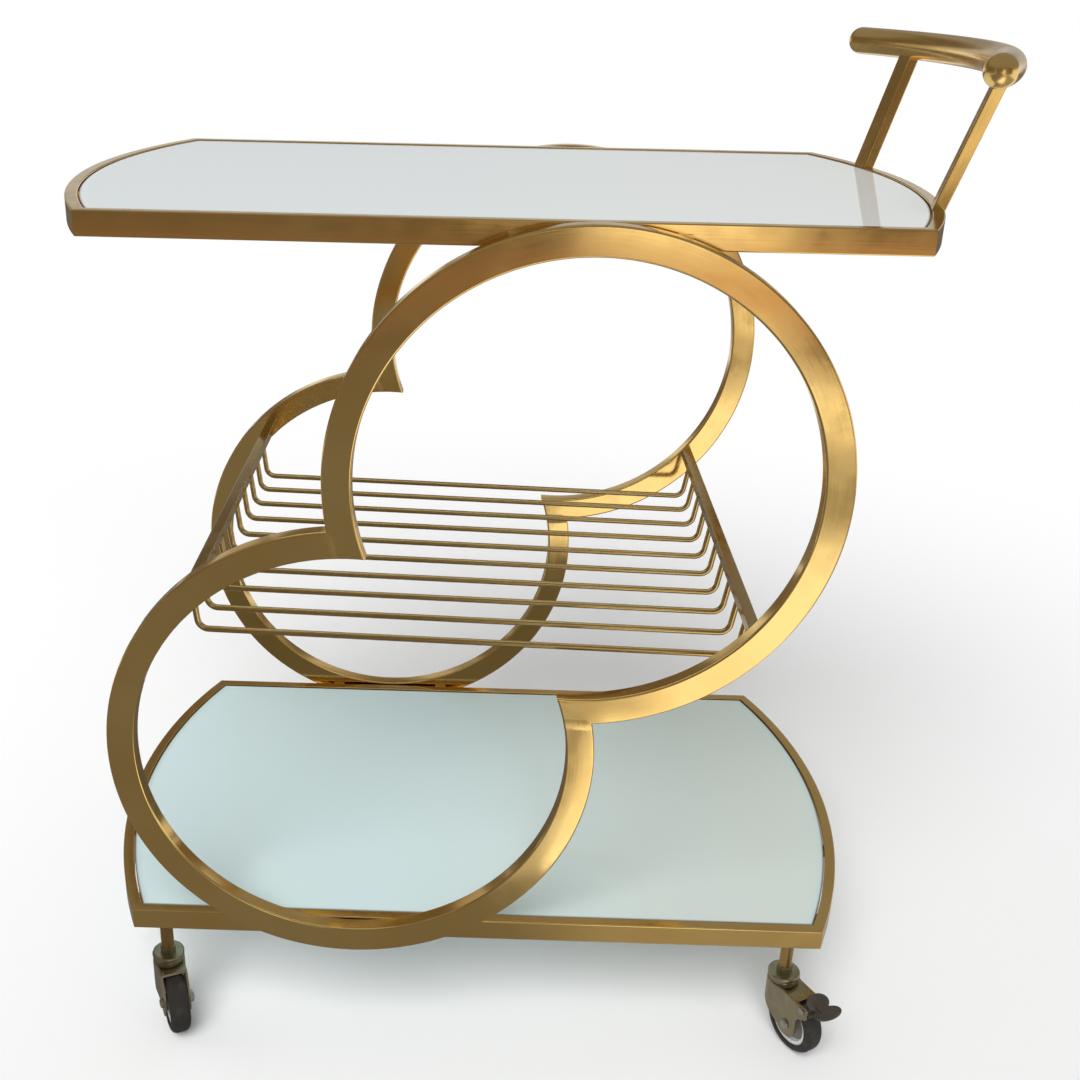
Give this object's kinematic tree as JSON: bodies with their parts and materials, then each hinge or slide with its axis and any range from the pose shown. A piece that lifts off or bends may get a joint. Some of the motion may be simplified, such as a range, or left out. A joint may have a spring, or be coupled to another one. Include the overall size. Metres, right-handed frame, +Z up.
{
  "type": "bar trolley",
  "caption": "Art-deco bar trolley: figure-eight hoop frames carry bow-ended glass trays, a wire rack and a bowed push handle on swivel casters.",
  "frame": {"origin": "on the floor, under the middle of the trolley's overall box", "axes": "+Z up, +X along the trays towards the push handle, -Y towards the front of the picture"},
  "size_m": [0.7876, 0.5206, 0.8985],
  "materials": {
    "gold": "polished gold plating",
    "white_glass": "glossy, painted white on the back",
    "pad": "soft clear silicone",
    "nickel": "bright warm nickel",
    "steel": "bright steel",
    "grey_plastic": "moulded grey",
    "tyre": "soft black rubber",
    "pedal_plastic": "dark brown moulded"
  },
  "bodies": {
    "trolley": {"front_upper_hoop": "gold", "front_lower_hoop": "gold", "front_handle_post": "gold", "rear_upper_hoop": "gold", "rear_lower_hoop": "gold", "rear_handle_post": "gold", "top_front_rail": "gold", "top_rear_rail": "gold", "top_left_bow": "gold", "top_right_bow": "gold", "top_glass_lugs": "gold", "top_glass": "white_glass", "top_glass_pads": "pad", "bottom_front_rail": "gold", "bottom_rear_rail": "gold", "bottom_left_bow": "gold", "bottom_right_bow": "gold", "bottom_glass_lugs": "gold", "bottom_glass": "white_glass", "bottom_glass_pads": "pad", "frame_blocks": "gold", "frame_bolts": "gold", "rack_left_bar": "gold", "rack_right_bar": "gold", "rack_wires": "gold", "handle_bar": "gold", "handle_end_caps": "gold", "caster_corner_plates": "gold", "caster_stem_tubes": "gold", "caster_stem_nuts": "nickel", "caster_swivel_cups": "nickel", "caster_thrust_washers": "grey_plastic", "front_left_caster_stem": "nickel", "front_right_caster_stem": "nickel", "rear_left_caster_stem": "nickel", "rear_right_caster_stem": "nickel"},
    "front_left_swivel": {"front_left_fork": "nickel", "front_left_axle": "steel"},
    "front_left_wheel": {"front_left_wheel_hub": "grey_plastic", "front_left_tyre": "tyre"},
    "front_right_swivel": {"front_right_fork": "nickel", "front_right_axle": "steel", "front_right_pedal_pin": "steel"},
    "front_right_wheel": {"front_right_wheel_hub": "grey_plastic", "front_right_tyre": "tyre"},
    "front_right_pedal": {"front_right_brake_pedal": "pedal_plastic"},
    "rear_left_swivel": {"rear_left_fork": "nickel", "rear_left_axle": "steel"},
    "rear_left_wheel": {"rear_left_wheel_hub": "grey_plastic", "rear_left_tyre": "tyre"},
    "rear_right_swivel": {"rear_right_fork": "nickel", "rear_right_axle": "steel", "rear_right_pedal_pin": "steel"},
    "rear_right_wheel": {"rear_right_wheel_hub": "grey_plastic", "rear_right_tyre": "tyre"},
    "rear_right_pedal": {"rear_right_brake_pedal": "pedal_plastic"}
  },
  "joints": [
    {"name": "front_left_swivel_turn", "type": "hinge", "parent": "trolley", "child": "front_left_swivel", "pos_m": [-0.32075, -0.198, 0.064], "axis": [0, 0, 1], "continuous": true},
    {"name": "front_left_wheel_spin", "type": "hinge", "parent": "front_left_swivel", "child": "front_left_wheel", "pos_m": [-0.3118, -0.2181, 0.03], "axis": [0.9135, 0.4067, 0], "continuous": true},
    {"name": "front_right_swivel_turn", "type": "hinge", "parent": "trolley", "child": "front_right_swivel", "pos_m": [0.26825, -0.198, 0.064], "axis": [0, 0, 1], "continuous": true},
    {"name": "front_right_wheel_spin", "type": "hinge", "parent": "front_right_swivel", "child": "front_right_wheel", "pos_m": [0.27925, -0.21705, 0.03], "axis": [0.866, 0.5, 0], "continuous": true},
    {"name": "front_right_brake_press", "type": "hinge", "parent": "front_right_swivel", "child": "front_right_pedal", "pos_m": [0.28829, -0.23271, 0.0595], "axis": [0.866, 0.5, 0], "range_deg": [0, 18]},
    {"name": "rear_left_swivel_turn", "type": "hinge", "parent": "trolley", "child": "rear_left_swivel", "pos_m": [-0.32075, 0.198, 0.064], "axis": [0, 0, 1], "continuous": true},
    {"name": "rear_left_wheel_spin", "type": "hinge", "parent": "rear_left_swivel", "child": "rear_left_wheel", "pos_m": [-0.3118, 0.2181, 0.03], "axis": [-0.9135, 0.4067, 0], "continuous": true},
    {"name": "rear_right_swivel_turn", "type": "hinge", "parent": "trolley", "child": "rear_right_swivel", "pos_m": [0.26825, 0.198, 0.064], "axis": [0, 0, 1], "continuous": true},
    {"name": "rear_right_wheel_spin", "type": "hinge", "parent": "rear_right_swivel", "child": "rear_right_wheel", "pos_m": [0.27925, 0.21705, 0.03], "axis": [-0.866, 0.5, 0], "continuous": true},
    {"name": "rear_right_brake_press", "type": "hinge", "parent": "rear_right_swivel", "child": "rear_right_pedal", "pos_m": [0.28829, 0.23271, 0.0595], "axis": [-0.866, 0.5, 0], "range_deg": [0, 18]}
  ]
}
